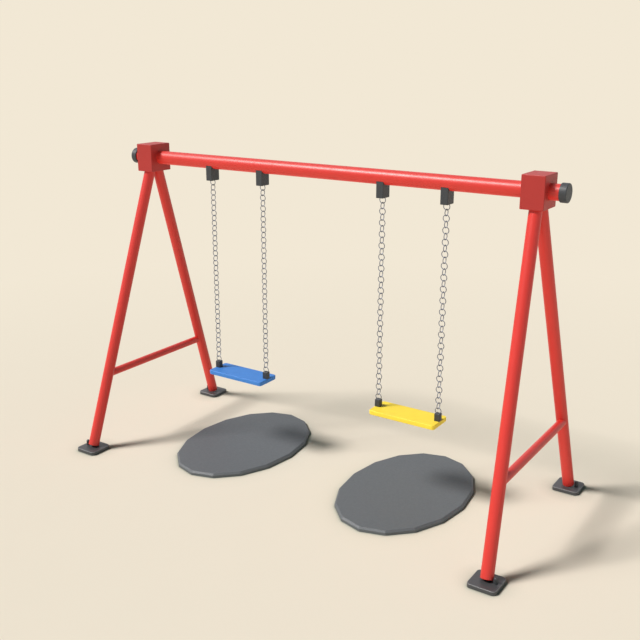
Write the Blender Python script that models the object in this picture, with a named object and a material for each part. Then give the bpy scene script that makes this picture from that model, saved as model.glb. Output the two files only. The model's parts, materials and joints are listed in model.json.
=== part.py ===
"""Double swing set: two A-frames, a crossbeam, two chain swings and two ground mats.

Metres, +Z up. +X runs along the beam, from the blue swing to the yellow one, and -Y is the front.
"""

from math import cos, hypot, pi, sin, sqrt

import bmesh
import bpy
from mathutils import Matrix, Vector

# Clearances
SEAT_GAP = 0.0003
SPIGOT_GAP = 0.0005
LINK_GAP = 0.0005
LINK_OVERLAP = 0.0003

# Frame
BEAM_HEIGHT = 2.0
BEAM_RADIUS = 0.045
BEAM_WALL = 0.004
BEAM_OVERHANG = 0.093
HEADER_X = 1.3922
HEADER_LENGTH = 0.1332
HEADER_DEPTH = 0.1848
HEADER_HEIGHT = 0.1848
HEADER_WALL = 0.005
HEADER_BEVEL = 0.004
LEG_RADIUS = 0.0364
LEG_WALL = 0.003
LEG_TOP_OUT = 0.0056
LEG_TOP_GAP = 0.0004
SPIGOT_LENGTH = 0.070
FOOT_X = 1.4968
FOOT_Y = 0.6514
BRACE_RADIUS = 0.0258
BRACE_WALL = 0.0025
BRACE_HEIGHT = 0.5232
BRACE_OUT = 0.0068

# End caps
CAP_RIM = 0.0073
CAP_DEPTH = 0.041
CAP_WALL = 0.006
CAP_BEVEL = 0.005

# Foot plates and ground anchors
PLATE_SIDE = 0.167
PLATE_THICKNESS = 0.024
PLATE_CORNER = 0.024
PLATE_BEVEL = 0.005
ANCHOR_RADIUS = 0.0120
ANCHOR_GAP = 0.0027
ANCHOR_STAND = 0.038

# Hangers
HANGER_LENGTH = 0.048
HANGER_DEPTH = 0.080
HANGER_DROP = 0.1212
HANGER_RISE = 0.022
HANGER_BEVEL = 0.004

# Chain rings and their eyes
LINK_BORE = 0.03445
WIRE_RADIUS = 0.0026
LINK_PAIRS = 16
EYE_DROP = 0.0140
EYE_STAND = 0.0156
STEM_RADIUS = 0.004
STEM_TIP = 0.002
NUT_RADIUS = 0.0075
NUT_HEIGHT = 0.0065
POCKET_GAP = 0.0012

# Seats and clamps
SWING_X = 0.6534
SEAT_LENGTH = 0.456
SEAT_DEPTH = 0.184
SEAT_THICKNESS = 0.030
SEAT_CORNER = 0.019
SEAT_BEVEL = 0.005
CLAMP_SIDE = 0.036
CLAMP_HEIGHT = 0.0469
CLAMP_INSET = 0.0013
CLAMP_BEVEL = 0.004

# Ground mats
MAT_WIDTH = 0.794
MAT_LENGTH = 1.157
MAT_BACK = 0.012
MAT_THICKNESS = 0.028
MAT_BEVEL = 0.011
MAT_SIDES = 16

# Facets
TUBE_SIDES = 32
LEG_SIDES = 24
STEM_SIDES = 12
RING_SIDES = 8
HINGE_RING_SIDES = 12
WIRE_SIDES = 4
CORNER_STEPS = 4

# Places worked out from the sizes
CHAIN_SPAN = SEAT_LENGTH - CLAMP_SIDE - 2 * CLAMP_INSET
STRETCH_LINKS = 2 * LINK_PAIRS + 1
RING_RADIUS = LINK_BORE / 2 + WIRE_RADIUS
HINGE_PITCH = LINK_BORE - LINK_GAP
STRETCH_PITCH = LINK_BORE + LINK_OVERLAP
HEADER_BOTTOM = BEAM_HEIGHT - HEADER_HEIGHT / 2
LEG_SLOPE = FOOT_Y / (HEADER_BOTTOM - PLATE_THICKNESS)
LEG_TOP_Y = LEG_TOP_GAP / 2 + LEG_RADIUS * hypot(1, LEG_SLOPE)
ANCHOR_OUT = LEG_RADIUS + ANCHOR_GAP + ANCHOR_RADIUS
BEAM_END = HEADER_X + HEADER_LENGTH / 2 + BEAM_OVERHANG
CAP_RADIUS = BEAM_RADIUS + SEAT_GAP + CAP_RIM
HANGER_BOTTOM = BEAM_HEIGHT - HANGER_DROP
HANGER_EYE_Z = HANGER_BOTTOM - EYE_DROP
TOP_LINK_Z = HANGER_EYE_Z - HINGE_PITCH
STRETCH_TOP_Z = TOP_LINK_Z - HINGE_PITCH
STRETCH_BOTTOM_Z = STRETCH_TOP_Z - (STRETCH_LINKS - 1) * STRETCH_PITCH
BOTTOM_LINK_Z = STRETCH_BOTTOM_Z - HINGE_PITCH
SEAT_EYE_Z = BOTTOM_LINK_Z - HINGE_PITCH
CLAMP_TOP = SEAT_EYE_Z - EYE_STAND
SEAT_TOP = CLAMP_TOP - CLAMP_HEIGHT - SEAT_GAP
SEAT_BOTTOM = SEAT_TOP - SEAT_THICKNESS

# Joint pins: the wire that each hinge turns round
SWING_PIVOT_Z = HANGER_EYE_Z - RING_RADIUS
SWAY_PIVOT_Z = TOP_LINK_Z - RING_RADIUS
LEVEL_PIVOT_Z = BOTTOM_LINK_Z + RING_RADIUS
TILT_PIVOT_Z = SEAT_EYE_Z + RING_RADIUS

COLOURS = {
    "red_paint": ((0.80, 0.075, 0.055), 0.35, 0.0),
    "header_red": ((0.50, 0.065, 0.055), 0.55, 0.0),
    "black_plastic": ((0.060, 0.062, 0.064), 0.55, 0.0),
    "foot_rubber": ((0.050, 0.048, 0.050), 0.70, 0.0),
    "mat_rubber": ((0.165, 0.167, 0.172), 0.85, 0.0),
    "zinc_steel": ((0.55, 0.54, 0.52), 0.40, 0.9),
    "blue_plastic": ((0.085, 0.28, 0.70), 0.45, 0.0),
    "yellow_plastic": ((1.0, 0.70, 0.075), 0.45, 0.0),
}


def clear_scene():
    """Remove whatever the file already holds."""
    for obj in list(bpy.data.objects):
        bpy.data.objects.remove(obj)


def material(name, finish):
    """A plain Principled material of the named finish, one for each node."""
    colour, roughness, metallic = COLOURS[finish]
    mat = bpy.data.materials.new(name)
    mat.use_nodes = True
    shader = mat.node_tree.nodes["Principled BSDF"]
    shader.inputs["Base Color"].default_value = (*colour, 1.0)
    shader.inputs["Roughness"].default_value = roughness
    shader.inputs["Metallic"].default_value = metallic
    return mat


def add_object(name, mesh, finish=None, at=(0, 0, 0), parent=None):
    """Put a mesh in the scene under a name, with its own material slot."""
    obj = bpy.data.objects.new(name, mesh)
    obj.location = at
    obj.parent = parent
    bpy.context.collection.objects.link(obj)
    if finish:
        if not mesh.materials:
            mesh.materials.append(None)
        obj.material_slots[0].link = "OBJECT"
        obj.material_slots[0].material = material(name, finish)
    return obj


def finish_mesh(bm, name, smooth=False):
    """Turn a bmesh into a mesh whose faces look outwards, smooth between sharp edges."""
    bmesh.ops.recalc_face_normals(bm, faces=bm.faces)
    mesh = bpy.data.meshes.new(name)
    bm.to_mesh(mesh)
    bm.free()
    if smooth:
        mesh.shade_smooth()
        mesh.set_sharp_from_angle(angle=pi / 6)
    return mesh


def bridge(bm, first, second):
    """Join two rings of as many vertices with a band of quads."""
    count = len(first)
    for i in range(count):
        j = (i + 1) % count
        bm.faces.new((first[i], first[j], second[j], second[i]))


def stacked(name, rings, smooth=False):
    """A solid whose skin runs through a stack of closed outlines, with flat ends."""
    bm = bmesh.new()
    loops = []
    for ring in rings:
        loops.append([bm.verts.new(point) for point in ring])
    for lower, upper in zip(loops, loops[1:]):
        bridge(bm, lower, upper)
    bm.faces.new(loops[0])
    bm.faces.new(loops[-1])
    return finish_mesh(bm, name, smooth)


def hollow(name, outer, inner, smooth=True):
    """A pipe: two matching pairs of outlines, an outer skin and an inner one."""
    bm = bmesh.new()
    skins = []
    for pair in (outer, inner):
        skins.append([[bm.verts.new(point) for point in ring] for ring in pair])
    (outer_low, outer_high), (inner_low, inner_high) = skins
    bridge(bm, outer_low, outer_high)
    bridge(bm, inner_low, inner_high)
    bridge(bm, outer_low, inner_low)
    bridge(bm, outer_high, inner_high)
    return finish_mesh(bm, name, smooth)


def circle(radius, sides, at=(0, 0, 0), along="Z"):
    """Points of a circle round a world axis, the first one on its lowest side or at +X."""
    points = []
    for i in range(sides):
        angle = 2 * pi * i / sides
        a = radius * cos(angle)
        b = radius * sin(angle)
        offset = {"X": (0, b, -a), "Y": (b, 0, -a), "Z": (a, b, 0)}[along]
        points.append(Vector(at) + Vector(offset))
    return points


def level_cut(foot, top, radius, sides, z):
    """The outline in which a slanted round bar meets the level plane at height z."""
    axis = (top - foot).normalized()
    side = axis.cross(Vector((0, 1, 0))).normalized()
    front = axis.cross(side)
    points = []
    for i in range(sides):
        angle = 2 * pi * i / sides
        start = foot + radius * (cos(angle) * side + sin(angle) * front)
        points.append(start + axis * ((z - start.z) / axis.z))
    return points


def square_cut(foot, top, radius, sides, at):
    """The outline of the same bar, cut square to its axis at a point on it."""
    axis = (top - foot).normalized()
    side = axis.cross(Vector((0, 1, 0))).normalized()
    front = axis.cross(side)
    points = []
    for i in range(sides):
        angle = 2 * pi * i / sides
        points.append(at + radius * (cos(angle) * side + sin(angle) * front))
    return points


def round_rectangle(length, depth, corner, inset, z):
    """A rectangle's outline with round corners, drawn in by the inset."""
    points = []
    for quarter in range(4):
        middle = pi / 4 + quarter * pi / 2
        x = (length / 2 - corner) * (1 if cos(middle) > 0 else -1)
        y = (depth / 2 - corner) * (1 if sin(middle) > 0 else -1)
        for step in range(CORNER_STEPS + 1):
            angle = quarter * pi / 2 + step * pi / 2 / CORNER_STEPS
            radius = corner - inset
            points.append((x + radius * cos(angle), y + radius * sin(angle), z))
    return points


def box_mesh(name, low, high):
    """A plain box between two corners."""
    bm = bmesh.new()
    size = Vector(high) - Vector(low)
    middle = (Vector(high) + Vector(low)) / 2
    bmesh.ops.create_cube(bm, size=1, matrix=Matrix.Translation(middle) @ Matrix.Diagonal((*size, 1)))
    return finish_mesh(bm, name)


def turned(name, profile, sides, at, along, smooth=True):
    """A solid turned round a world axis from (distance along, radius) pairs; radius 0 is a pole."""
    bm = bmesh.new()
    loops = []
    step = {"X": Vector((1, 0, 0)), "Z": Vector((0, 0, 1))}[along]
    for distance, radius in profile:
        centre = Vector(at) + step * distance
        if radius == 0:
            loops.append([bm.verts.new(centre)])
        else:
            loops.append([bm.verts.new(point) for point in circle(radius, sides, centre, along)])
    for lower, upper in zip(loops, loops[1:]):
        if len(lower) == 1 or len(upper) == 1:
            pole, rim = (lower[0], upper) if len(lower) == 1 else (upper[0], lower)
            for i in range(sides):
                bm.faces.new((pole, rim[i], rim[(i + 1) % sides]))
        else:
            bridge(bm, lower, upper)
    return finish_mesh(bm, name, smooth)


def ring_verts(bm, centre_z, sides, normal):
    """One chain ring, a closed torus of wire, with its flat side square to the normal."""
    loops = []
    for i in range(sides):
        around = 2 * pi * i / sides
        loop = []
        for j in range(WIRE_SIDES):
            across = 2 * pi * j / WIRE_SIDES
            reach = RING_RADIUS + WIRE_RADIUS * cos(across)
            wide = reach * sin(around)
            thick = WIRE_RADIUS * sin(across)
            z = centre_z - reach * cos(around)
            loop.append(bm.verts.new((wide, thick, z) if normal == "Y" else (thick, wide, z)))
        loops.append(loop)
    for lower, upper in zip(loops, loops[1:] + loops[:1]):
        bridge(bm, lower, upper)


def ring_mesh(name, centre_z, sides, normal):
    """A single chain ring."""
    bm = bmesh.new()
    ring_verts(bm, centre_z, sides, normal)
    return finish_mesh(bm, name, smooth=True)


def cutter(name, mesh, at=(0, 0, 0)):
    """A helper shape that is subtracted or joined and isn't a piece itself."""
    obj = add_object(name, mesh, at=at)
    obj.hide_render = True
    obj.display_type = "WIRE"
    return obj


def boolean(obj, other, operation="DIFFERENCE"):
    """Cut a helper shape out of an object, or join it on."""
    modifier = obj.modifiers.new(operation.title() + "_" + other.name, "BOOLEAN")
    modifier.operation = operation
    modifier.solver = "EXACT"
    modifier.object = other


def bevel(obj, width, segments=2):
    """Round an object's sharp edges."""
    modifier = obj.modifiers.new("Bevel", "BEVEL")
    modifier.width = width
    modifier.segments = segments
    modifier.limit_method = "ANGLE"


def baked(obj, name):
    """The mesh that an object's modifiers give, as one that other objects can share."""
    graph = bpy.context.evaluated_depsgraph_get()
    mesh = bpy.data.meshes.new_from_object(obj.evaluated_get(graph))
    mesh.name = name
    mesh.shade_smooth()
    mesh.set_sharp_from_angle(angle=pi / 4)
    return mesh


def rod(name, at, low, high, radius, sides=STEM_SIDES):
    """A plain upright cylinder."""
    rings = [circle(radius, sides, (at[0], at[1], low)), circle(radius, sides, (at[0], at[1], high))]
    return stacked(name, rings, smooth=True)


def leg_line(side, end):
    """Where a leg's axis meets its foot plate's top and its header's bottom."""
    foot = Vector((side * FOOT_X, end * FOOT_Y, PLATE_THICKNESS))
    top = Vector((side * (HEADER_X + LEG_TOP_OUT), end * LEG_TOP_Y, HEADER_BOTTOM))
    return foot, top


def hanger_places():
    """The four chains: name, swing side, end of the seat and X."""
    for side, swing in ((-1, "blue"), (1, "yellow")):
        for end, hand in ((-1, "left"), (1, "right")):
            yield f"{swing}_{hand}", side, end, side * SWING_X + end * CHAIN_SPAN / 2


def eye_bolt(name, ring_z, stem_low, stem_high):
    """A chain ring with a stem welded to it, upright in the middle."""
    ring = cutter(name + "_ring", ring_mesh(name + "_ring", ring_z, HINGE_RING_SIDES, "Y"))
    stem = cutter(name + "_stem", rod(name + "_stem", (0, 0), stem_low, stem_high, STEM_RADIUS))
    boolean(ring, stem, "UNION")
    return baked(ring, name)


def hexagon_nut(name, low):
    """A hexagon nut with a clear bore, standing on the height low."""
    bore = STEM_RADIUS + SEAT_GAP
    outer = []
    inner = []
    for z in (low, low + NUT_HEIGHT):
        inner.append(circle(bore, STEM_SIDES, (0, 0, z)))
        ring = []
        for i in range(12):
            reach = NUT_RADIUS * (1 if i % 2 == 0 else cos(pi / 6))
            ring.append((reach * cos(i * pi / 6), reach * sin(i * pi / 6), z))
        outer.append(ring)
    return hollow(name, outer, inner, smooth=False)


def build_beam():
    """The crossbeam: a tube with a hole in its lower wall for each hanger eye's stem."""
    outer = [circle(BEAM_RADIUS, TUBE_SIDES, (x, 0, BEAM_HEIGHT), "X") for x in (-BEAM_END, BEAM_END)]
    bore = BEAM_RADIUS - BEAM_WALL
    inner = [circle(bore, TUBE_SIDES, (x, 0, BEAM_HEIGHT), "X") for x in (-BEAM_END, BEAM_END)]
    beam = add_object("crossbeam", hollow("crossbeam", outer, inner), "red_paint")
    low = BEAM_HEIGHT - BEAM_RADIUS - BEAM_WALL
    for name, _, _, x in hanger_places():
        hole = rod("beam_hole", (x, 0), low, BEAM_HEIGHT - bore / 2, STEM_RADIUS + SEAT_GAP)
        boolean(beam, cutter("beam_hole_" + name, hole))


def build_caps():
    """The two end caps: cups that slip over the beam's ends."""
    bore = BEAM_RADIUS + SEAT_GAP
    mouth = BEAM_END + SEAT_GAP - (CAP_DEPTH - CAP_WALL)
    for side, name in ((-1, "left"), (1, "right")):
        profile = [
            (CAP_DEPTH, 0),
            (CAP_DEPTH, CAP_RADIUS - CAP_BEVEL),
            (CAP_DEPTH - CAP_BEVEL / 2, CAP_RADIUS - CAP_BEVEL / 4),
            (CAP_DEPTH - CAP_BEVEL, CAP_RADIUS),
            (CAP_BEVEL / 2, CAP_RADIUS),
            (0, CAP_RADIUS - CAP_BEVEL / 2),
            (0, bore),
            (CAP_DEPTH - CAP_WALL, bore),
            (CAP_DEPTH - CAP_WALL, 0),
        ]
        flipped = [(side * distance, radius) for distance, radius in profile]
        mesh = turned("end_cap", flipped, TUBE_SIDES, (side * mouth, 0, BEAM_HEIGHT), "X")
        add_object("end_cap_" + name, mesh, "black_plastic")


def build_headers():
    """The two headers: hollow boxes on the beam, with two spigots for the leg tubes under each."""
    length = HEADER_LENGTH / 2
    depth = HEADER_DEPTH / 2
    height = HEADER_HEIGHT / 2
    for side, name in ((-1, "left"), (1, "right")):
        low = (-length, -depth, -height)
        high = (length, depth, height)
        centre = (side * HEADER_X, 0, BEAM_HEIGHT)
        header = add_object("header_" + name, box_mesh("header", low, high), "header_red", centre)
        bevel(header, HEADER_BEVEL)
        inner_low = [value + HEADER_WALL for value in low]
        inner_high = [value - HEADER_WALL for value in high]
        boolean(header, cutter("header_cavity_" + name, box_mesh("cavity", inner_low, inner_high), centre))
        ends = [side * HEADER_X - 2 * length, side * HEADER_X + 2 * length]
        rings = [circle(BEAM_RADIUS + SEAT_GAP, TUBE_SIDES, (x, 0, BEAM_HEIGHT), "X") for x in ends]
        boolean(header, cutter("header_bore_" + name, stacked("bore", rings)))
        for end, hand in ((-1, "front"), (1, "rear")):
            foot, top = leg_line(side, end)
            radius = LEG_RADIUS - LEG_WALL - SPIGOT_GAP
            tip = top - (top - foot).normalized() * SPIGOT_LENGTH
            root = level_cut(foot, top, radius, LEG_SIDES, HEADER_BOTTOM + HEADER_WALL * 1.5)
            rings = [square_cut(foot, top, radius, LEG_SIDES, tip), root]
            spigot = cutter(f"header_spigot_{name}_{hand}", stacked("spigot", rings, smooth=True))
            boolean(header, spigot, "UNION")


def build_legs():
    """The four leg tubes and their foot plates. A tube is cut level under its header, and square to
    its axis at the foot, where its inner edge rests on the plate.
    """
    for side, name in ((-1, "left"), (1, "right")):
        for end, hand in ((-1, "front"), (1, "rear")):
            foot, top = leg_line(side, end)
            axis = (top - foot).normalized()
            low = foot + axis * ((SEAT_GAP + LEG_RADIUS * hypot(axis.x, axis.y)) / axis.z)
            high = HEADER_BOTTOM - SEAT_GAP
            skins = []
            for radius in (LEG_RADIUS, LEG_RADIUS - LEG_WALL):
                cut = level_cut(foot, top, radius, LEG_SIDES, high)
                skins.append([square_cut(foot, top, radius, LEG_SIDES, low), cut])
            add_object(f"leg_{hand}_{name}", hollow("leg", *skins), "red_paint")
            build_foot(side, end, f"{hand}_{name}")


def build_foot(side, end, name):
    """A foot plate with its leg spigot and its ground anchor."""
    foot, top = leg_line(side, end)
    steps = ((PLATE_BEVEL / 4, 0), (0, PLATE_BEVEL / 4), (0, PLATE_THICKNESS - PLATE_BEVEL))
    steps += ((PLATE_BEVEL / 3, PLATE_THICKNESS - PLATE_BEVEL / 3), (PLATE_BEVEL, PLATE_THICKNESS))
    rings = [round_rectangle(PLATE_SIDE, PLATE_SIDE, PLATE_CORNER, inset, z) for inset, z in steps]
    centre = (side * FOOT_X, end * FOOT_Y, 0)
    plate = add_object("foot_plate_" + name, stacked("foot_plate", rings), "foot_rubber", centre)
    hole_x = side * (FOOT_X + ANCHOR_OUT)
    bore = ANCHOR_RADIUS + SEAT_GAP
    hole = rod("anchor_hole", (hole_x, centre[1]), -PLATE_BEVEL, 2 * PLATE_THICKNESS, bore)
    boolean(plate, cutter("anchor_hole_" + name, hole))
    radius = LEG_RADIUS - LEG_WALL - SPIGOT_GAP
    tip = foot + (top - foot).normalized() * SPIGOT_LENGTH
    root = level_cut(foot, top, radius, LEG_SIDES, PLATE_THICKNESS / 2)
    rings = [root, square_cut(foot, top, radius, LEG_SIDES, tip)]
    boolean(plate, cutter("foot_spigot_" + name, stacked("spigot", rings)), "UNION")
    high = PLATE_THICKNESS + ANCHOR_STAND
    dome = [(high, 0)]
    for step in range(1, 4):
        angle = step * pi / 6
        dome.append((high - ANCHOR_RADIUS * (1 - cos(angle)), ANCHOR_RADIUS * sin(angle)))
    dome += [(0, ANCHOR_RADIUS), (0, 0)]
    mesh = turned("ground_anchor", dome, STEM_SIDES, (0, 0, 0), "Z")
    add_object("ground_anchor_" + name, mesh, "black_plastic", (hole_x, centre[1], 0))


def build_braces():
    """The two braces: tubes from leg to leg, coped round the legs at both ends."""
    for side, name in ((-1, "left"), (1, "right")):
        foot, top = leg_line(side, 1)
        share = (BRACE_HEIGHT - foot.z) / (top.z - foot.z)
        joint = foot.lerp(top, share) + Vector((side * BRACE_OUT, 0, 0))
        bore = BRACE_RADIUS - BRACE_WALL
        outer = []
        inner = []
        for y in (-joint.y, joint.y):
            outer.append(circle(BRACE_RADIUS, LEG_SIDES, (joint.x, y, joint.z), "Y"))
            inner.append(circle(bore, LEG_SIDES, (joint.x, y, joint.z), "Y"))
        brace = add_object("brace_" + name, hollow("brace", outer, inner), "red_paint")
        for end, hand in ((-1, "front"), (1, "rear")):
            foot, top = leg_line(side, end)
            rings = [level_cut(foot, top, LEG_RADIUS + SEAT_GAP, LEG_SIDES, z) for z in (0, BEAM_HEIGHT)]
            boolean(brace, cutter(f"brace_cope_{name}_{hand}", stacked("cope", rings)))


def build_hangers():
    """The four hangers, saddled to the beam, with their eyes and the nuts inside the beam."""
    length = HANGER_LENGTH / 2
    depth = HANGER_DEPTH / 2
    saddle_high = BEAM_HEIGHT - HANGER_RISE
    half_ring = RING_RADIUS + WIRE_RADIUS
    pocket_x = sqrt(half_ring ** 2 - EYE_DROP ** 2) + POCKET_GAP
    pocket_high = HANGER_EYE_Z + half_ring + POCKET_GAP
    flat = (BEAM_RADIUS - BEAM_WALL) * cos(pi / TUBE_SIDES)
    nut_low = BEAM_HEIGHT - sqrt(flat ** 2 - NUT_RADIUS ** 2) + SEAT_GAP
    stem_high = nut_low + NUT_HEIGHT + STEM_TIP
    eye = eye_bolt("hanger_eye", HANGER_EYE_Z, HANGER_EYE_Z + RING_RADIUS, stem_high)
    nut = hexagon_nut("beam_nut", nut_low)
    for name, _, _, x in hanger_places():
        mesh = box_mesh("hanger", (-length, -depth, HANGER_BOTTOM), (length, depth, saddle_high))
        hanger = add_object("hanger_" + name, mesh, "black_plastic", (x, 0, 0))
        bevel(hanger, HANGER_BEVEL)
        ends = (x - 2 * length, x + 2 * length)
        rings = [circle(BEAM_RADIUS + SEAT_GAP, TUBE_SIDES, (end, 0, BEAM_HEIGHT), "X") for end in ends]
        boolean(hanger, cutter("saddle_" + name, stacked("saddle", rings)))
        low = (x - pocket_x, -WIRE_RADIUS - POCKET_GAP, HANGER_EYE_Z)
        high = (x + pocket_x, WIRE_RADIUS + POCKET_GAP, pocket_high)
        boolean(hanger, cutter("eye_pocket_" + name, box_mesh("pocket", low, high)))
        hole = rod("stem_hole", (x, 0), HANGER_EYE_Z, BEAM_HEIGHT, STEM_RADIUS + SEAT_GAP)
        boolean(hanger, cutter("stem_hole_" + name, hole))
        add_object("hanger_eye_" + name, eye, "zinc_steel", (x, 0, 0))
        add_object("beam_nut_" + name, nut, "zinc_steel", (x, 0, 0))


def chain_mesh():
    """The stretch of rings between the two hinge rings, joined where each rests in the next.

    Odd rings lie across the swing and even ones along it. The first and last have finer facets,
    because the hinge rings turn in them. Heights are from the sway pivot.
    """
    halves = []
    for odd, normal in ((True, "Y"), (False, "X")):
        bm = bmesh.new()
        for i in range(0 if odd else 1, STRETCH_LINKS, 2):
            sides = HINGE_RING_SIDES if i in (0, STRETCH_LINKS - 1) else RING_SIDES
            ring_verts(bm, STRETCH_TOP_Z - i * STRETCH_PITCH - SWAY_PIVOT_Z, sides, normal)
        halves.append(cutter("chain_half_" + normal, finish_mesh(bm, "chain_half")))
    boolean(halves[0], halves[1], "UNION")
    return baked(halves[0], "chain")


def build_swings():
    """Both swings: chains with their hinge rings, seat eyes, clamps, nuts and seats."""
    chain = chain_mesh()
    top_link = ring_mesh("top_link", TOP_LINK_Z - SWING_PIVOT_Z, HINGE_RING_SIDES, "X")
    bottom_link = ring_mesh("bottom_link", BOTTOM_LINK_Z - LEVEL_PIVOT_Z, HINGE_RING_SIDES, "X")
    nut_low = SEAT_BOTTOM - SEAT_GAP - NUT_HEIGHT - TILT_PIVOT_Z
    eye_z = SEAT_EYE_Z - TILT_PIVOT_Z
    eye = eye_bolt("seat_eye", eye_z, nut_low - STEM_TIP, eye_z - RING_RADIUS)
    nut = hexagon_nut("seat_nut", nut_low)
    holders = {}
    for side, swing in ((-1, "blue"), (1, "yellow")):
        holder = bpy.data.objects.new("swing_" + swing, None)
        holder.location = (side * SWING_X, 0, 0)
        bpy.context.collection.objects.link(holder)
        holders[swing] = holder
        build_seat(swing, side, holder)
    for name, side, end, x in hanger_places():
        holder = holders[name.split("_")[0]]
        across = end * CHAIN_SPAN / 2
        add_object("top_link_" + name, top_link, "zinc_steel", (across, 0, SWING_PIVOT_Z), holder)
        add_object("chain_" + name, chain, "zinc_steel", (across, 0, SWAY_PIVOT_Z), holder)
        add_object("bottom_link_" + name, bottom_link, "zinc_steel", (across, 0, LEVEL_PIVOT_Z), holder)
        add_object("seat_eye_" + name, eye, "zinc_steel", (across, 0, TILT_PIVOT_Z), holder)
        add_object("seat_nut_" + name, nut, "zinc_steel", (across, 0, TILT_PIVOT_Z), holder)
        build_clamp(name, x, across, holder)


def build_seat(swing, side, holder):
    """A flat seat with round corners and edges, and a stem hole near each end."""
    low = SEAT_BOTTOM - TILT_PIVOT_Z
    high = SEAT_TOP - TILT_PIVOT_Z
    edge = SEAT_BEVEL
    steps = ((edge, low), (edge * 0.3, low + edge * 0.3), (0, low + edge))
    steps += ((0, high - edge), (edge * 0.3, high - edge * 0.3), (edge, high))
    rings = [round_rectangle(SEAT_LENGTH, SEAT_DEPTH, SEAT_CORNER, inset, z) for inset, z in steps]
    finish = swing + "_plastic"
    seat = add_object("seat_" + swing, stacked("seat", rings), finish, (0, 0, TILT_PIVOT_Z), holder)
    for end, hand in ((-1, "left"), (1, "right")):
        x = side * SWING_X + end * CHAIN_SPAN / 2
        hole = rod("seat_hole", (x, 0), SEAT_BOTTOM - edge, SEAT_TOP + edge, STEM_RADIUS + SEAT_GAP)
        boolean(seat, cutter(f"seat_hole_{swing}_{hand}", hole))


def build_clamp(name, x, across, holder):
    """A seat clamp: a small block round the seat eye's stem, with a slot for the eye's ring."""
    half = CLAMP_SIDE / 2
    low = SEAT_TOP + SEAT_GAP - TILT_PIVOT_Z
    high = CLAMP_TOP - TILT_PIVOT_Z
    mesh = box_mesh("seat_clamp", (-half, -half, low), (half, half, high))
    clamp = add_object("seat_clamp_" + name, mesh, "black_plastic", (across, 0, TILT_PIVOT_Z), holder)
    bevel(clamp, CLAMP_BEVEL)
    half_ring = RING_RADIUS + WIRE_RADIUS
    slot_x = sqrt(half_ring ** 2 - EYE_STAND ** 2) + POCKET_GAP
    slot_low = (x - slot_x, -WIRE_RADIUS - POCKET_GAP, SEAT_EYE_Z - half_ring - POCKET_GAP)
    slot_high = (x + slot_x, WIRE_RADIUS + POCKET_GAP, SEAT_EYE_Z)
    boolean(clamp, cutter("eye_slot_" + name, box_mesh("slot", slot_low, slot_high)))
    hole = rod("clamp_hole", (x, 0), SEAT_BOTTOM, SEAT_EYE_Z, STEM_RADIUS + SEAT_GAP)
    boolean(clamp, cutter("clamp_hole_" + name, hole))


def build_mats():
    """The two ground mats: low sixteen-sided ovals with a bevelled rim."""
    steps = ((0, 0), (0, MAT_THICKNESS - MAT_BEVEL), (MAT_BEVEL, MAT_THICKNESS))
    rings = []
    for inset, z in steps:
        ring = []
        for i in range(MAT_SIDES):
            angle = 2 * pi * i / MAT_SIDES
            ring.append(((MAT_WIDTH / 2 - inset) * cos(angle), (MAT_LENGTH / 2 - inset) * sin(angle), z))
        rings.append(ring)
    mesh = stacked("ground_mat", rings)
    for side, name in ((-1, "blue"), (1, "yellow")):
        add_object("ground_mat_" + name, mesh, "mat_rubber", (side * SWING_X, MAT_BACK, 0))


def main():
    clear_scene()
    build_beam()
    build_caps()
    build_headers()
    build_legs()
    build_braces()
    build_hangers()
    build_swings()
    build_mats()


main()
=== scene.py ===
"""Looks of the double swing set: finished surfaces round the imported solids, floor, light and camera."""

import json
from math import pi, radians

import bmesh
import bpy
import numpy as np
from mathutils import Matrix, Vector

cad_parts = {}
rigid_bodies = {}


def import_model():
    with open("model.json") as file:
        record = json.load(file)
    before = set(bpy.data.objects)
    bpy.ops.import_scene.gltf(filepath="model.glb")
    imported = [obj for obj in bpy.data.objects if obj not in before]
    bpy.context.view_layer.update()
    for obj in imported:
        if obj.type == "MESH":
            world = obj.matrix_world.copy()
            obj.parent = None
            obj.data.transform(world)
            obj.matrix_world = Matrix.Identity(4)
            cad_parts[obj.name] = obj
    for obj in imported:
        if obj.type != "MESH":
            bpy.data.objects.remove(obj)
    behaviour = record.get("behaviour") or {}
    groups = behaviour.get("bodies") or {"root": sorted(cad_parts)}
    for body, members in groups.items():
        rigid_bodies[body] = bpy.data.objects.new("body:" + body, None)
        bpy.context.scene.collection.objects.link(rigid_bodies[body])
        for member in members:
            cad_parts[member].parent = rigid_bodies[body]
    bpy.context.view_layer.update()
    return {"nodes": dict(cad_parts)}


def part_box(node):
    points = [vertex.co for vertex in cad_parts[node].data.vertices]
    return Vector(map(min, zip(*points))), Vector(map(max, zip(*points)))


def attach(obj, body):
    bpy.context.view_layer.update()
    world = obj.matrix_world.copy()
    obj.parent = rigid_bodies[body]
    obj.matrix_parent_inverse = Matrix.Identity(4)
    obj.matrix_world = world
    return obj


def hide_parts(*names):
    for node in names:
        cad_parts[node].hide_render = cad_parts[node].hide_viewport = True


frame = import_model()

# Camera
CAMERA_PLACE = (3.0373, -4.5444, 2.7163)
CAMERA_TURN = (90 - 16.978, 0, 33.761)
CAMERA_LENS = 49.9

# Lamps: a soft key high at the left front, a wider halo round it, a low broad fill from the right, and
# the light that the floor returns
KEY_TURN = (40.7, 0, -46.8)
KEY_LEVEL = 3.02
KEY_ANGLE = 15
HALO_LEVEL = 0.83
HALO_ANGLE = 30
FILL_TURN = (80, 0, 80)
FILL_LEVEL = 0.50
FILL_ANGLE = 60
RETURN_TURN = (125, 0, 10)
RETURN_LEVEL = 2.2
RETURN_ANGLE = 90
KEY_COLOUR = (1.045, 0.993, 0.975)
HALO_COLOUR = (0.97, 1.0, 0.98)
FILL_COLOUR = (0.90, 1.0, 0.985)
SKY_LEVEL = 0.05
SKY_COLOUR = (0.50, 1.0, 1.0)
GLOSS_COLOUR = (0.84, 0.85, 0.87)

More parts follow.
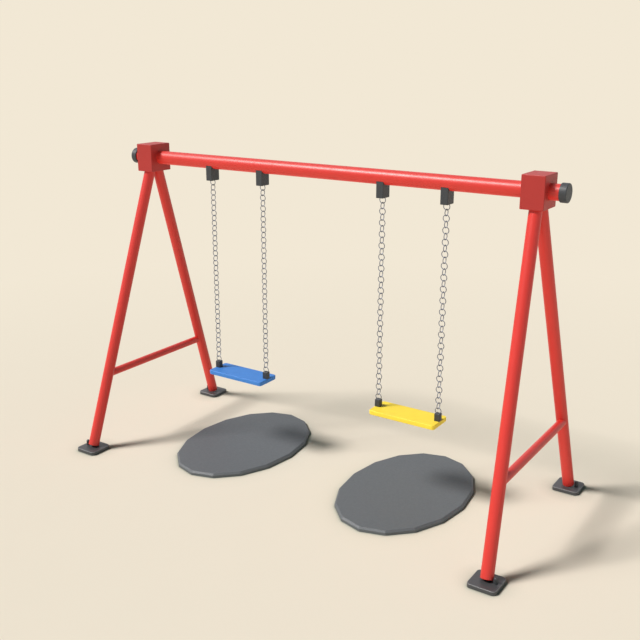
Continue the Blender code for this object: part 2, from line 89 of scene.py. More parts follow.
# Floor and backdrop
FLOOR_Z = -0.0005
FLOOR_COLOUR = (0.829, 0.757, 0.633)
BACKDROP_COLOUR = (0.887, 0.807, 0.665)
# Painted shade on the floor close to what stands on it: its reach, a power for each channel, and samples
PAINTED_SHADE_REACH = 0.17
PAINTED_SHADE_POWERS = (1.15, 1.0, 1.03)
PAINTED_SHADE_SAMPLES = 16
CLEAR_CENTRE = (0.9, -1.4, 0)
CLEAR_FLOOR = 2.6
FLOOR_REACHES = (0.01, 3.0, 8.0, 40.0)
FLOOR_DRIFT = 0.002

# Frame sizes that the solids' boxes don't give
BEAM_WALL = 0.004
LEG_RADIUS = 0.0364
LEG_WALL = 0.003
BRACE_WALL = 0.0025
SEAM = 0.0003
HEADER_BEVEL = 0.004
HEADER_CORNER = 0.0045
CAP_BEVEL = 0.005
CAP_FLOOR = 0.006
PLATE_CORNER = 0.024
PLATE_BEVEL = 0.005
PLATE_LOW_BEVEL = 0.0012
PLATE_HIGH = 0.024
HANGER_CORNER = 0.004
HANGER_BEVEL = 0.003
CLAMP_CORNER = 0.004
CLAMP_BEVEL = 0.003
SLOT_GAP = 0.0012
SLOT_RIM = 0.0012
SEAT_CORNER = 0.019
SEAT_BEVEL = 0.005

# Shares: how round a slot's ends and an anchor's dome are, how far down a plate's edge its painted
# highlight goes, and where the rings of a hanger's top lie, from its outline in to its middle line
SLOT_ROUND = 0.98
DOME_ROUND = 0.98
RIM_HIGHLIGHT_REACH = 0.7
SADDLE_SHARES = (1.0, 0.97, 0.85, 0.65, 0.4, 0.15, 0.01)

# Chain
LINK_BORE = 0.03445
WIRE_RADIUS = 0.0026
LINK_OVERLAP = 0.0003
STRETCH_LINKS = 33
STEM_RADIUS = 0.004
RING_RADIUS = LINK_BORE / 2 + WIRE_RADIUS
HALF_RING = RING_RADIUS + WIRE_RADIUS
STRETCH_PITCH = LINK_BORE + LINK_OVERLAP

# Facets
FLOOR_STEPS = 96
TUBE_STEPS = 72
ROUND_STEPS = 48
ANCHOR_STEPS = 32
STEM_STEPS = 20
CORNER_STEPS = 6
BEVEL_STEPS = 5
DOME_STEPS = 8
LINK_STEPS = 16
WIRE_STEPS = 5

# Angles in degrees between faces, up to which an edge looks soft, and the radius at the middle of a cap
SOFT_EDGE = 35
WIRE_SOFT_EDGE = 60
POLE = 0.0001

# Surface patterns, in waves or crumbs per metre
PAINT_DRIFT = 5.0
PAINT_SHEEN = 40.0
PAINT_PEEL = 420.0
MOULD_DRIFT = 14.0
MOULD_SHEEN = 90.0
MOULD_GRAIN = 900.0
# Patches in the painted highlight on the plates' rims
RIM_HIGHLIGHT_PATCHES = 60.0
MAT_CRUMBS = 320.0
MAT_SHEEN = 60.0
MAT_SWELL = 18.0
ZINC_CLOUDS = 150.0
ZINC_SHEEN = 220.0
ZINC_MARKS = 1500.0
FLOOR_TONES = 3.0

SIDES = (("left", -1), ("right", 1))
ENDS = (("front", -1), ("rear", 1))
SWINGS = ("blue", "yellow")


def node_box(node):
    """A solid's lowest and highest corners as arrays."""
    low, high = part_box(node)
    return np.array(low), np.array(high)


def piece(name, parts, body, slot, finish, replaces=(), soft_edge=SOFT_EDGE):
    """One object from (vertices, faces) parts, smooth between its hard edges."""
    points = []
    faces = []
    start = 0
    for vertices, polygons in parts:
        points.append(vertices)
        faces += [[start + i for i in polygon] for polygon in polygons]
        start += len(vertices)
    mesh = bpy.data.meshes.new(name)
    mesh.from_pydata(np.vstack(points).tolist(), [], faces)
    bm = bmesh.new()
    bm.from_mesh(mesh)
    bmesh.ops.remove_doubles(bm, verts=bm.verts, dist=1e-7)
    bmesh.ops.recalc_face_normals(bm, faces=bm.faces)
    bm.to_mesh(mesh)
    bm.free()
    mesh.shade_smooth()
    mesh.set_sharp_from_angle(angle=radians(soft_edge))
    mesh.materials.append(finish)
    obj = bpy.data.objects.new(name, mesh)
    bpy.context.collection.objects.link(obj)
    weighted = obj.modifiers.new("Flat faces stay flat", "WEIGHTED_NORMAL")
    weighted.keep_sharp = True
    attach(obj, body)
    if replaces:
        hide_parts(*replaces)
    return obj


def skin(rings, loop=False):
    """The surface through a stack of closed rings, an array of shape (rows, columns, 3).

    Quads join each ring to the next. A loop's last ring joins its first, and an open stack ends in a flat
    face at each end.
    """
    rings = np.asarray(rings, float)
    rows, columns = rings.shape[:2]
    index = np.arange(rows * columns).reshape(rows, columns)
    ends = [] if loop else [index[0, ::-1].tolist(), index[-1].tolist()]
    low = index if loop else index[:-1]
    high = np.roll(index, -1, 0) if loop else index[1:]
    quads = np.stack([low, np.roll(low, -1, 1), np.roll(high, -1, 1), high], -1)
    return rings.reshape(-1, 3), quads.reshape(-1, 4).tolist() + ends


def turns(steps):
    """Angles of that many equal steps round a full turn."""
    return np.arange(steps) * 2 * pi / steps


def round_profile(radius, steps=TUBE_STEPS):
    """Points (radius cos a, radius sin a) of a circle."""
    return radius * np.stack([np.cos(turns(steps)), np.sin(turns(steps))], -1)


def round_corners(length, depth, corner, inset=0.0):
    """A rectangle's outline with corners of a quarter circle, drawn in all round by the inset.

    Each corner is its middle plus (corner - inset) (cos a, sin a), a over its own quarter turn.
    """
    quarter = np.arange(4)[:, None]
    angle = (quarter + np.linspace(0, 1, CORNER_STEPS + 1)[None]) * pi / 2
    middle = (quarter + 0.5) * pi / 2
    reach = corner - inset
    x = (length / 2 - corner) * np.sign(np.cos(middle)) + reach * np.cos(angle)
    y = (depth / 2 - corner) * np.sign(np.sin(middle)) + reach * np.sin(angle)
    return np.stack([x.ravel(), y.ravel()], -1)


def upright(profile, z):
    """A level ring: the profile's points (x, y) at the height z."""
    return np.column_stack([profile, np.full(len(profile), z)])


def rolled_edge(bevel, steps=BEVEL_STEPS):
    """Inset and depth pairs of a quarter round edge: bevel (1 - cos a) and bevel (1 - sin a)."""
    angle = np.linspace(0, pi / 2, steps + 1)
    return np.stack([bevel * (1 - np.cos(angle)), bevel * (1 - np.sin(angle))], -1)


def low_edge(length, depth, corner, bevel, low):
    """Rings of a block's rolled lower edge, from its underside up."""
    edge = rolled_edge(bevel)[::-1]
    return [upright(round_corners(length, depth, corner, inset), low + down) for inset, down in edge]


def high_edge(length, depth, corner, bevel, high):
    """Rings of a block's rolled upper edge, up to its top."""
    edge = rolled_edge(bevel)
    return [upright(round_corners(length, depth, corner, inset), high - down) for inset, down in edge]


def slab(length, depth, corner, low, high, bevel_low, bevel_high):
    """Rings of a flat block with round corners and rolled lower and upper edges."""
    rings = low_edge(length, depth, corner, bevel_low, low)
    return np.array(rings + high_edge(length, depth, corner, bevel_high, high))


def along_x(rings):
    """Turns upright rings (a, b, c) so that their stack runs along X: (c, a, b)."""
    return np.asarray(rings)[..., [2, 0, 1]]


def leg_tube(foot, top, radius, wall, seam):
    """A leg's rings, outside and inside: square to the axis at the foot, level at the top.

    A ring's point is foot + radius (side cos a + front sin a) + t axis. At the foot t is the same all
    round, and puts the lowest point a seam above the plate. At the top the point meets the top's level.
    """
    axis = (top - foot) / np.linalg.norm(top - foot)
    side = np.cross(axis, (0, 1, 0))
    side /= np.linalg.norm(side)
    front = np.cross(axis, side)
    rise = (seam + radius * np.hypot(axis[0], axis[1])) / axis[2]
    pairs = []
    for reach in (radius, radius - wall):
        profile = round_profile(reach)
        start = foot + profile[:, :1] * side + profile[:, 1:] * front
        pairs.append((start + axis * rise, start + axis * ((top[2] - start[:, 2:]) / axis[2])))
    (outer_low, outer_high), (inner_low, inner_high) = pairs
    return np.array([outer_low, outer_high, inner_high, inner_low])


def ring_of_wire(centre_z, across):
    """A chain ring: a torus of wire in the upright plane that holds the direction across.

    Point (u, v): (R + r cos v) (sin u across - cos u up) + r sin v normal.
    """
    across = np.array(across, float)
    normal = np.cross(across, (0, 0, 1))
    u = turns(LINK_STEPS)[:, None, None]
    v = turns(WIRE_STEPS)[None, :, None]
    reach = RING_RADIUS + WIRE_RADIUS * np.cos(v)
    points = reach * (np.sin(u) * across - np.cos(u) * np.array((0, 0, 1)))
    points = points + WIRE_RADIUS * np.sin(v) * normal
    return skin(points + np.array((0, 0, centre_z)), loop=True)


def moved(part, offset):
    """A part shifted by an offset."""
    vertices, faces = part
    return vertices + np.array(offset), faces


def build_beam():
    """The crossbeam: an open tube from end to end."""
    low, high = node_box("crossbeam")
    radius = (high[2] - low[2]) / 2
    centre = (low + high) / 2
    bore = radius - BEAM_WALL
    ends = ((radius, low[0]), (radius, high[0]), (bore, high[0]), (bore, low[0]))
    rings = [upright(round_profile(reach) + centre[1:], x) for reach, x in ends]
    piece("beam_tube", [skin(along_x(rings), loop=True)], "frame", "red_paint", RED_PAINT, ["crossbeam"])
    return radius, centre[2]


def build_caps(beam_radius, beam_z):
    """End caps: cups turned round the beam's axis, chamfered at the mouth and rolled at the face."""
    for side, sign in SIDES:
        low, high = node_box("end_cap_" + side)
        radius = (high[2] - low[2]) / 2
        mouth, face = (high[0], low[0]) if sign < 0 else (low[0], high[0])
        bore = beam_radius + SEAM
        floor = face - sign * CAP_FLOOR
        profile = [(floor, POLE), (floor, bore), (mouth, bore), (mouth, radius - CAP_BEVEL / 3)]
        profile += [(mouth + sign * CAP_BEVEL / 3, radius)]
        profile += [(face - sign * d, radius - i) for i, d in rolled_edge(CAP_BEVEL)]
        rings = [upright(round_profile(r, ROUND_STEPS) + (0, beam_z), x) for x, r in profile]
        name = "end_cap_" + side
        piece("cap_" + side, [skin(along_x(rings))], "frame", "black_plastic", BLACK_PLASTIC, [name])


def build_headers(beam_radius, beam_z):
    """Headers: blocks with rolled edges round the beam's bore, one closed skin from bore to bore."""
    for side, _ in SIDES:
        low, high = node_box("header_" + side)
        size = 2 * (high[2] - beam_z)
        outline = round_corners(size, size, HEADER_CORNER)
        angle = np.arctan2(outline[:, 1], outline[:, 0])
        bore = (beam_radius + SEAM) * np.stack([np.cos(angle), np.sin(angle)], -1)
        rings = [upright(bore, low[0])]
        rings += low_edge(size, size, HEADER_CORNER, HEADER_BEVEL, low[0])
        rings += high_edge(size, size, HEADER_CORNER, HEADER_BEVEL, high[0])
        rings.append(upright(bore, high[0]))
        rings = along_x(rings) + np.array((0, 0, beam_z))
        name = "header_" + side
        piece("header_block_" + side, [skin(rings, loop=True)], "frame", "header_red", HEADER_RED, [name])


def leg_line(side, end):
    """A leg's axis, from the middle of its foot plate's top to the middle of its own level top."""
    plate_low, plate_high = node_box(f"foot_plate_{end}_{side}")
    foot = (plate_low + plate_high) / 2
    foot[2] = PLATE_HIGH
    points = np.array([v.co for v in frame["nodes"][f"leg_{end}_{side}"].data.vertices])
    ring = points[points[:, 2] > points[:, 2].max() - 1e-5]
    return foot, (ring.min(0) + ring.max(0)) / 2


def build_legs():
    """The four leg tubes, and the two braces between them."""
    for side, _ in SIDES:
        lines = {}
        for end, _ in ENDS:
            foot, top = leg_line(side, end)
            lines[end] = (foot, top)
            rings = leg_tube(foot, top, LEG_RADIUS, LEG_WALL, SEAM)
            tube = skin(rings, loop=True)
            name = f"leg_tube_{end}_{side}"
            piece(name, [tube], "frame", "red_paint", RED_PAINT, [f"leg_{end}_{side}"])
        build_brace(side, lines)


def build_brace(side, lines):
    """A brace: a tube from leg to leg whose ends follow the legs' surfaces.

    A line of the tube runs along Y at (x, z). It ends where its distance from the leg's axis is the leg's
    radius, the root of |p x d| = R for a point p from the axis and the axis's direction d.
    """
    low, high = node_box("brace_" + side)
    radius = (high[2] - low[2]) / 2
    centre = (low + high) / 2
    rings = []
    for reach in (radius, radius - BRACE_WALL):
        profile = round_profile(reach, ROUND_STEPS)
        x = centre[0] + profile[:, 0]
        z = centre[2] + profile[:, 1]
        pair = []
        for end, sign in ENDS:
            foot, top = lines[end]
            axis = (top - foot) / np.linalg.norm(top - foot)
            start = np.stack([x, np.zeros_like(x), z], -1) - foot
            across = start - (start @ axis)[:, None] * axis
            step = np.array((0, 1, 0)) - axis[1] * axis
            a = step @ step
            b = 2 * across @ step
            c = (across * across).sum(1) - (LEG_RADIUS + SEAM) ** 2
            y = (-b - sign * np.sqrt(b * b - 4 * a * c)) / (2 * a)
            pair.append(np.stack([x, y, z], -1))
        rings.append(pair)
    (outer_front, outer_rear), (inner_front, inner_rear) = rings
    tube = skin([outer_front, outer_rear, inner_rear, inner_front], loop=True)
    piece("brace_tube_" + side, [tube], "frame", "red_paint", RED_PAINT, ["brace_" + side])


def build_feet():
    """Foot plates with rolled upper edges, and the domed ground anchors beside the legs."""
    for side, _ in SIDES:
        for end, _ in ENDS:
            name = f"foot_plate_{end}_{side}"
            low, high = node_box(name)
            centre = (low + high) / 2
            length, depth = (high - low)[:2]
            rings = slab(length, depth, PLATE_CORNER, 0.0, PLATE_HIGH, PLATE_LOW_BEVEL, PLATE_BEVEL)
            part = moved(skin(rings), (centre[0], centre[1], 0))
            plate = piece(f"plate_{end}_{side}", [part], "frame", "foot_rubber", FOOT_RUBBER, [name])
            # Painted highlight: a lighter line on the upper part of the plate's rolled edge
            paint_rim_highlight(plate)
            name = f"ground_anchor_{end}_{side}"
            low, high = node_box(name)
            radius = (high[0] - low[0]) / 2
            centre = (low + high) / 2
            dome = rolled_edge(radius * DOME_ROUND, DOME_STEPS)
            profile = [(0.0, radius)] + [(high[2] - down, radius - inset) for inset, down in dome]
            rings = [upright(round_profile(r, ANCHOR_STEPS) + centre[:2], z) for z, r in profile]
            piece(f"anchor_{end}_{side}", [skin(rings)], "frame", "black_plastic", BLACK_PLASTIC, [name])


def paint_rim_highlight(obj):
    """A plate's painted highlight as a vertex value, with its peak on the upper part of the rolled edge.

    With t as the share of the edge's depth, it is 1 - |2 t - reach| / reach, and not under 0.
    """
    points = np.array([v.co for v in obj.data.vertices])
    down = (PLATE_HIGH - points[:, 2]) / PLATE_BEVEL
    rim_highlight = np.clip(1 - np.abs(2 * down - RIM_HIGHLIGHT_REACH) / RIM_HIGHLIGHT_REACH, 0, 1)
    obj.data.attributes.new("rim_highlight", "FLOAT", "POINT").data.foreach_set("value", rim_highlight)


def slot_outline(ring_z, face_z, longest):
    """The outline of a slot for a ring's wire, with a gap all round and as many points as a block's.

    Half its length is sqrt(r^2 - (face - middle)^2) plus the gap, for a ring of the outer radius r.
    """
    length = 2 * (np.sqrt(HALF_RING ** 2 - (face_z - ring_z) ** 2) + SLOT_GAP)
    depth = 2 * (WIRE_RADIUS + SLOT_GAP)
    return round_corners(min(length, longest), depth, depth / 2 * SLOT_ROUND)


def build_hangers(beam_radius, beam_z):
    """Hangers: blocks saddled to the beam, with a slot in the bottom for the chain's eye.

    The top at (x, y) is at beam_z - sqrt(R^2 - y^2), or level where the beam is above the block's top.
    """
    radius = beam_radius + SEAM
    for swing in SWINGS:
        for hand, _ in SIDES:
            name = f"hanger_{swing}_{hand}"
            low, high = node_box(name)
            centre = (low + high) / 2
            length, depth = (high - low)[:2]
            eye_low, _ = node_box(f"hanger_eye_{swing}_{hand}")
            ring_z = eye_low[2] + HALF_RING
            slot = slot_outline(ring_z, low[2], length - SLOT_RIM)
            rings = [upright(slot, ring_z + HALF_RING + SLOT_GAP), upright(slot, low[2])]
            rings += low_edge(length, depth, HANGER_CORNER, HANGER_BEVEL, low[2])
            outline = round_corners(length, depth, HANGER_CORNER)
            for share in SADDLE_SHARES:
                flat = outline * (1, share)
                top = beam_z - np.sqrt(radius ** 2 - flat[:, 1] ** 2)
                rings.append(np.column_stack([flat, np.minimum(top, high[2])]))
            part = moved(skin(rings), (centre[0], centre[1], 0))
            piece(f"hanger_block_{swing}_{hand}", [part], "frame", "black_plastic", BLACK_PLASTIC, [name])


def build_clamps():
    """Seat clamps: small blocks on the seat's ends, with a slot in the top for the chain's eye."""
    for swing in SWINGS:
        for hand, _ in SIDES:
            name = f"seat_clamp_{swing}_{hand}"
            low, high = node_box(name)
            centre = (low + high) / 2
            length, depth = (high - low)[:2]
            _, eye_high = node_box(f"seat_eye_{swing}_{hand}")
            ring_z = eye_high[2] - HALF_RING
            slot = slot_outline(ring_z, high[2], length - SLOT_RIM)
            rings = [upright(round_corners(length, depth, CLAMP_CORNER), low[2])]
            rings += high_edge(length, depth, CLAMP_CORNER, CLAMP_BEVEL, high[2])
            rings += [upright(slot, high[2]), upright(slot, ring_z - HALF_RING - SLOT_GAP)]
            part = moved(skin(rings), (centre[0], centre[1], 0))
            body = "swing_seat_" + swing
            piece(f"clamp_{swing}_{hand}", [part], body, "black_plastic", BLACK_PLASTIC, [name])


def build_chains():
    """Chain rings: the eyes with their stems, the two hinge rings and the stretch between them."""
    along_beam = (1, 0, 0)
    across_beam = (0, 1, 0)
    wire = ("zinc_steel", ZINC_STEEL)
    for swing in SWINGS:
        for hand, _ in SIDES:
            tail = f"{swing}_{hand}"
            low, high = node_box("chain_" + tail)
            place = ((low[0] + high[0]) / 2, 0, 0)
            first = high[2] - HALF_RING
            links = []
            for i in range(STRETCH_LINKS):
                across = along_beam if i % 2 == 0 else across_beam
                links.append(moved(ring_of_wire(first - i * STRETCH_PITCH, across), place))
            body = "chain_" + tail
            piece("chain_links_" + tail, links, body, *wire, [body], WIRE_SOFT_EDGE)
            for node in ("top_link_", "bottom_link_"):
                low, high = node_box(node + tail)
                part = moved(ring_of_wire((low[2] + high[2]) / 2, across_beam), place)
                piece(node + "ring_" + tail, [part], node + tail, *wire, [node + tail], WIRE_SOFT_EDGE)
            for node, body, up in (("hanger_eye_", "frame", 1), ("seat_eye_", "swing_seat_" + swing, -1)):
                low, high = node_box(node + tail)
                ring_z = low[2] + HALF_RING if up > 0 else high[2] - HALF_RING
                stem = sorted((ring_z + up * RING_RADIUS, high[2] if up > 0 else low[2]))
                rings = [upright(round_profile(STEM_RADIUS, STEM_STEPS), z) for z in stem]
                parts = [ring_of_wire(ring_z, along_beam), skin(rings)]
                parts = [moved(part, place) for part in parts]
                piece(node + "ring_" + tail, parts, body, *wire, [node + tail], WIRE_SOFT_EDGE)


def build_seats():
    """Seats: flat slabs with round corners and rolled edges."""
    for swing, finish in (("blue", BLUE_PLASTIC), ("yellow", YELLOW_PLASTIC)):
        low, high = node_box("seat_" + swing)
        centre = (low + high) / 2
        length, depth = (high - low)[:2]
        rings = slab(length, depth, SEAT_CORNER, low[2], high[2], SEAT_BEVEL, SEAT_BEVEL)
        part = moved(skin(rings), (centre[0], centre[1], 0))
        body = "swing_seat_" + swing
        piece("seat_slab_" + swing, [part], body, swing + "_plastic", finish, ["seat_" + swing])


class Nodes:
    """A material under construction: its tree, its shader and the object's coordinates."""

    def __init__(self, name):
        self.material = bpy.data.materials.new(name)
        self.material.use_nodes = True
        self.tree = self.material.node_tree
        self.shader = self.tree.nodes["Principled BSDF"]
        self.place = self.add("ShaderNodeTexCoord").outputs["Object"]

    def add(self, kind, **settings):
        """A node with its plain settings."""
        node = self.tree.nodes.new(kind)
        for key, value in settings.items():
            setattr(node, key, value)
        return node

    def join(self, output, target):
        """Links an output to an input."""
        self.tree.links.new(output, target)

    def noise(self, scale, detail=2.0, roughness=0.5):
        """Noise over the object's own coordinates, its scale in waves per metre."""
        node = self.add("ShaderNodeTexNoise")
        node.inputs["Scale"].default_value = scale
        node.inputs["Detail"].default_value = detail
        node.inputs["Roughness"].default_value = roughness
        self.join(self.place, node.inputs["Vector"])
        return node.outputs["Fac"]

    def cells(self, scale):
        """Voronoi cells over the object's own coordinates."""
        node = self.add("ShaderNodeTexVoronoi")
        node.inputs["Scale"].default_value = scale
        self.join(self.place, node.inputs["Vector"])
        return node

    def spread(self, value, low, high, start=0.3, stop=0.7):
        """Maps a noise value from start..stop to low..high."""
        node = self.add("ShaderNodeMapRange")
        node.inputs["From Min"].default_value = start
        node.inputs["From Max"].default_value = stop
        node.inputs["To Min"].default_value = low
        node.inputs["To Max"].default_value = high
        self.join(value, node.inputs["Value"])
        return node.outputs["Result"]

    def tint(self, value, first, second):
        """A colour between two, by a value from 0 to 1."""
        node = self.add("ShaderNodeMix", data_type="RGBA")
        node.inputs[6].default_value = (*first, 1)
        node.inputs[7].default_value = (*second, 1)
        self.join(value, node.inputs["Factor"])
        return node.outputs[2]

    def bump(self, value, strength, distance, under=None):
        """Bump of a height value, on top of another bump where one is given."""
        node = self.add("ShaderNodeBump")
        node.inputs["Strength"].default_value = strength
        node.inputs["Distance"].default_value = distance
        self.join(value, node.inputs["Height"])
        if under is not None:
            self.join(under, node.inputs["Normal"])
        return node.outputs["Normal"]

    def finish(self, colour, roughness, normal, **plain):
        """Links the maps to the shader and sets its plain sockets."""
        self.join(colour, self.shader.inputs["Base Color"])
        self.join(roughness, self.shader.inputs["Roughness"])
        self.join(normal, self.shader.inputs["Normal"])
        for key, value in plain.items():
            self.shader.inputs[key.replace("_", " ")].default_value = value
        return self.material


def shade(colour, factor):
    """A colour made lighter or darker."""
    return tuple(min(channel * factor, 1.0) for channel in colour)


def powder_coat(name, colour, roughness, coat):
    """Powder-coated steel: faint drift of the colour, fine orange peel and a clear topcoat."""
    n = Nodes(name)
    drift = n.spread(n.noise(PAINT_DRIFT, 3.0), 0.0, 1.0)
    base = n.tint(drift, shade(colour, 0.97), shade(colour, 1.03))
    gloss = n.spread(n.noise(PAINT_SHEEN, 3.0), roughness - 0.03, roughness + 0.04)
    peel = n.bump(n.noise(PAINT_PEEL), strength=0.10, distance=0.0003)
    return n.finish(base, gloss, peel, Coat_Weight=coat, Coat_Roughness=0.24)


def moulded_plastic(name, colour, roughness, grain):
    """Moulded plastic: a faint drift of the colour and a fine spark-eroded grain."""
    n = Nodes(name)
    drift = n.spread(n.noise(MOULD_DRIFT, 3.0), 0.0, 1.0)
    base = n.tint(drift, shade(colour, 0.96), shade(colour, 1.04))
    gloss = n.spread(n.noise(MOULD_SHEEN, 3.0), roughness - 0.04, roughness + 0.05)
    fine = n.bump(n.noise(MOULD_GRAIN, 3.0, 0.6), strength=grain, distance=0.0003)
    return n.finish(base, gloss, fine)


def rubber_with_painted_rim(name, colour, rim_highlight_colour):
    """Moulded rubber with a painted highlight: a lighter tone, in random patches, where the highlight
    value is high.
    """
    n = Nodes(name)
    drift = n.spread(n.noise(MOULD_DRIFT, 3.0), 0.0, 1.0)
    base = n.tint(drift, shade(colour, 0.94), shade(colour, 1.06))
    # Painted highlight on the plate's rim, broken into random patches
    rim_highlight = n.add("ShaderNodeAttribute", attribute_name="rim_highlight").outputs["Fac"]
    patchy_rim_highlight = n.add("ShaderNodeMath", operation="MULTIPLY")
    n.join(rim_highlight, patchy_rim_highlight.inputs[0])
    n.join(n.spread(n.noise(RIM_HIGHLIGHT_PATCHES, 3.0), 0.7, 1.0), patchy_rim_highlight.inputs[1])
    rim_highlighted = n.add("ShaderNodeMix", data_type="RGBA")
    n.join(patchy_rim_highlight.outputs["Value"], rim_highlighted.inputs["Factor"])
    n.join(base, rim_highlighted.inputs[6])
    rim_highlighted.inputs[7].default_value = (*rim_highlight_colour, 1)
    gloss = n.spread(n.noise(MOULD_SHEEN, 3.0), 0.38, 0.47)
    fine = n.bump(n.noise(MOULD_GRAIN, 3.0, 0.6), strength=0.15, distance=0.0003)
    return n.finish(rim_highlighted.outputs[2], gloss, fine)


def crumb_rubber(name, colour):
    """Pressed rubber: crumbs that differ a little in tone, with dimples where they meet."""
    n = Nodes(name)
    cells = n.cells(MAT_CRUMBS)
    tone = n.spread(cells.outputs["Color"], 0.0, 1.0, 0.0, 1.0)
    base = n.tint(tone, shade(colour, 0.90), shade(colour, 1.10))
    gloss = n.spread(n.noise(MAT_SHEEN, 3.0), 0.50, 0.60)
    dimples = n.bump(cells.outputs["Distance"], strength=0.25, distance=0.0006)
    swell = n.bump(n.noise(MAT_SWELL, 3.0), strength=0.15, distance=0.002, under=dimples)
    return n.finish(base, gloss, swell, Specular_IOR_Level=0.55)


def zinc_plate(name, colour):
    """Zinc-plated steel: cloudy patches of brighter and duller plate over fine drawing marks."""
    n = Nodes(name)
    cloud = n.spread(n.noise(ZINC_CLOUDS, 4.0, 0.6), 0.0, 1.0)
    base = n.tint(cloud, shade(colour, 0.85), shade(colour, 1.12))
    gloss = n.spread(n.noise(ZINC_SHEEN, 3.0), 0.60, 0.74)
    marks = n.bump(n.noise(ZINC_MARKS), strength=0.15, distance=0.0002)
    return n.finish(base, gloss, marks, Metallic=0.9)


def build_stage():
    """A wide pale floor with painted shade close to what stands on it, that fades into the backdrop far
    away.
    """
    rings = [upright(round_profile(reach, FLOOR_STEPS), FLOOR_Z) for reach in reversed(FLOOR_REACHES)]
    vertices, faces = skin(rings)
    outer_end = faces[-2]
    faces.remove(outer_end)
    mesh = bpy.data.meshes.new("floor")
    mesh.from_pydata(vertices.tolist(), [], faces)
    floor = bpy.data.objects.new("floor", mesh)
    bpy.context.collection.objects.link(floor)
    n = Nodes("floor_paper")
    tone = n.spread(n.noise(FLOOR_TONES), 0.0, 1.0)
    drift = n.tint(tone, shade(FLOOR_COLOUR, 1 - FLOOR_DRIFT), shade(FLOOR_COLOUR, 1 + FLOOR_DRIFT))
    # Painted shade: occlusion near the frame, mats and feet darkens the floor's colour, red more than the
    # rest
    painted_shade = n.add("ShaderNodeAmbientOcclusion", samples=PAINTED_SHADE_SAMPLES)
    painted_shade.inputs["Distance"].default_value = PAINTED_SHADE_REACH
    painted_shade_tint = n.add("ShaderNodeCombineColor")
    for channel, power in zip(painted_shade_tint.inputs, PAINTED_SHADE_POWERS):
        raised = n.add("ShaderNodeMath", operation="POWER")
        raised.inputs[1].default_value = power
        n.join(painted_shade.outputs["AO"], raised.inputs[0])
        n.join(raised.outputs["Value"], channel)
    paper_with_painted_shade = n.add("ShaderNodeMix", data_type="RGBA", blend_type="MULTIPLY")
    paper_with_painted_shade.inputs["Factor"].default_value = 1.0
    n.join(drift, paper_with_painted_shade.inputs[6])
    n.join(painted_shade_tint.outputs["Color"], paper_with_painted_shade.inputs[7])
    n.join(paper_with_painted_shade.outputs[2], n.shader.inputs["Base Color"])
    n.shader.inputs["Roughness"].default_value = 1.0
    n.shader.inputs["Specular IOR Level"].default_value = 0.0
    away = n.add("ShaderNodeVectorMath", operation="DISTANCE")
    n.join(n.place, away.inputs[0])
    away.inputs[1].default_value = CLEAR_CENTRE
    far = n.spread(away.outputs["Value"], 0.0, 1.0, start=CLEAR_FLOOR, stop=3 * CLEAR_FLOOR)
    rays = n.add("ShaderNodeLightPath")
    seen = n.add("ShaderNodeMath", operation="MULTIPLY")
    n.join(far, seen.inputs[0])
    n.join(rays.outputs["Is Camera Ray"], seen.inputs[1])
    glow = n.add("ShaderNodeEmission")
    glow.inputs["Color"].default_value = (*BACKDROP_COLOUR, 1)
    mix = n.add("ShaderNodeMixShader")
    n.join(seen.outputs["Value"], mix.inputs["Fac"])
    n.join(n.shader.outputs["BSDF"], mix.inputs[1])
    n.join(glow.outputs["Emission"], mix.inputs[2])
    n.join(mix.outputs["Shader"], n.tree.nodes["Material Output"].inputs["Surface"])
    mesh.materials.append(n.material)


def build_world():
    """An even soft sky. The camera sees the backdrop's colour there, and the gloss a neutral white."""
    world = bpy.data.worlds.new("studio")
    bpy.context.scene.world = world
    world.use_nodes = True
    tree = world.node_tree
    sky = tree.nodes["Background"]
    sky.inputs["Color"].default_value = (*SKY_COLOUR, 1)
    sky.inputs["Strength"].default_value = SKY_LEVEL
    rays = tree.nodes.new("ShaderNodeLightPath")
    shown = sky
    for kind, colour in (("Is Glossy Ray", GLOSS_COLOUR), ("Is Camera Ray", BACKDROP_COLOUR)):
        seen = tree.nodes.new("ShaderNodeBackground")
        seen.inputs["Color"].default_value = (*colour, 1)
        both = tree.nodes.new("ShaderNodeMixShader")
        tree.links.new(rays.outputs[kind], both.inputs["Fac"])
        tree.links.new(shown.outputs[0], both.inputs[1])
        tree.links.new(seen.outputs[0], both.inputs[2])
        shown = both
    tree.links.new(shown.outputs[0], tree.nodes["World Output"].inputs["Surface"])


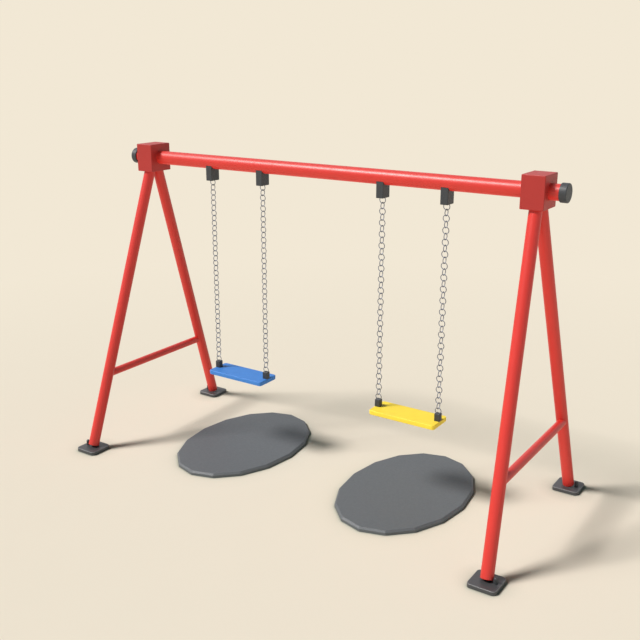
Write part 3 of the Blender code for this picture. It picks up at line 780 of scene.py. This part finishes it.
def build_lamps():
    """Broad lamps whose shadows run parallel: the key, its halo, a low fill and the return.

    The fill and the return stand for light that comes back from the room and the floor, so they leave
    no highlight. The return comes from below, so the floor neither takes its light nor stops it.
    """
    returned = bpy.data.collections.new("lit_by_the_return")
    for obj in bpy.context.scene.objects:
        if obj.type == "MESH" and obj.name != "floor":
            returned.objects.link(obj)
    for name, turn, level, angle, colour, glossy in (
        ("key", KEY_TURN, KEY_LEVEL, KEY_ANGLE, KEY_COLOUR, True),
        ("halo", KEY_TURN, HALO_LEVEL, HALO_ANGLE, HALO_COLOUR, True),
        ("fill", FILL_TURN, FILL_LEVEL, FILL_ANGLE, FILL_COLOUR, False),
        ("return", RETURN_TURN, RETURN_LEVEL, RETURN_ANGLE, FILL_COLOUR, False),
    ):
        lamp = bpy.data.lights.new(name, "SUN")
        lamp.energy = level
        lamp.angle = radians(angle)
        lamp.color = colour
        holder = bpy.data.objects.new(name, lamp)
        holder.rotation_euler = [radians(a) for a in turn]
        holder.visible_glossy = glossy
        if name == "return":
            holder.light_linking.receiver_collection = returned
            holder.light_linking.blocker_collection = returned
        bpy.context.collection.objects.link(holder)


def build_camera():
    """The photograph's camera."""
    data = bpy.data.cameras.new("camera")
    data.lens = CAMERA_LENS
    camera = bpy.data.objects.new("camera", data)
    camera.location = CAMERA_PLACE
    camera.rotation_euler = [radians(angle) for angle in CAMERA_TURN]
    bpy.context.collection.objects.link(camera)
    bpy.context.scene.camera = camera


def dress_kept_nodes():
    """Finishes for the solids that keep their own shape: mats and nuts."""
    for swing in SWINGS:
        dress(f"ground_mat_{swing}", MAT_RUBBER)
        for hand, _ in SIDES:
            dress(f"beam_nut_{swing}_{hand}", ZINC_STEEL)
            dress(f"seat_nut_{swing}_{hand}", ZINC_STEEL)


def dress(node, finish):
    """Gives a solid's slots one finish."""
    for slot in frame["nodes"][node].material_slots:
        slot.material = finish


RED_PAINT = powder_coat("red_paint", (0.64, 0.031, 0.022), 0.42, 0.08)
HEADER_RED = powder_coat("header_red", (0.40, 0.024, 0.019), 0.50, 0.0)
BLACK_PLASTIC = moulded_plastic("black_plastic", (0.033, 0.036, 0.040), 0.50, 0.20)
# The last colour is the painted highlight on the plates' rims
FOOT_RUBBER = rubber_with_painted_rim("foot_rubber", (0.056, 0.057, 0.060), (0.25, 0.25, 0.25))
MAT_RUBBER = crumb_rubber("mat_rubber", (0.101, 0.110, 0.118))
ZINC_STEEL = zinc_plate("zinc_steel", (0.25, 0.263, 0.30))
BLUE_PLASTIC = moulded_plastic("blue_plastic", (0.048, 0.22, 0.63), 0.55, 0.15)
YELLOW_PLASTIC = moulded_plastic("yellow_plastic", (1.0, 0.74, 0.055), 0.55, 0.15)

beam_radius, beam_z = build_beam()
build_caps(beam_radius, beam_z)
build_headers(beam_radius, beam_z)
build_legs()
build_feet()
build_hangers(beam_radius, beam_z)
build_clamps()
build_chains()
build_seats()
dress_kept_nodes()
build_stage()
build_world()
build_lamps()
build_camera()
bpy.context.scene.view_settings.view_transform = "Standard"
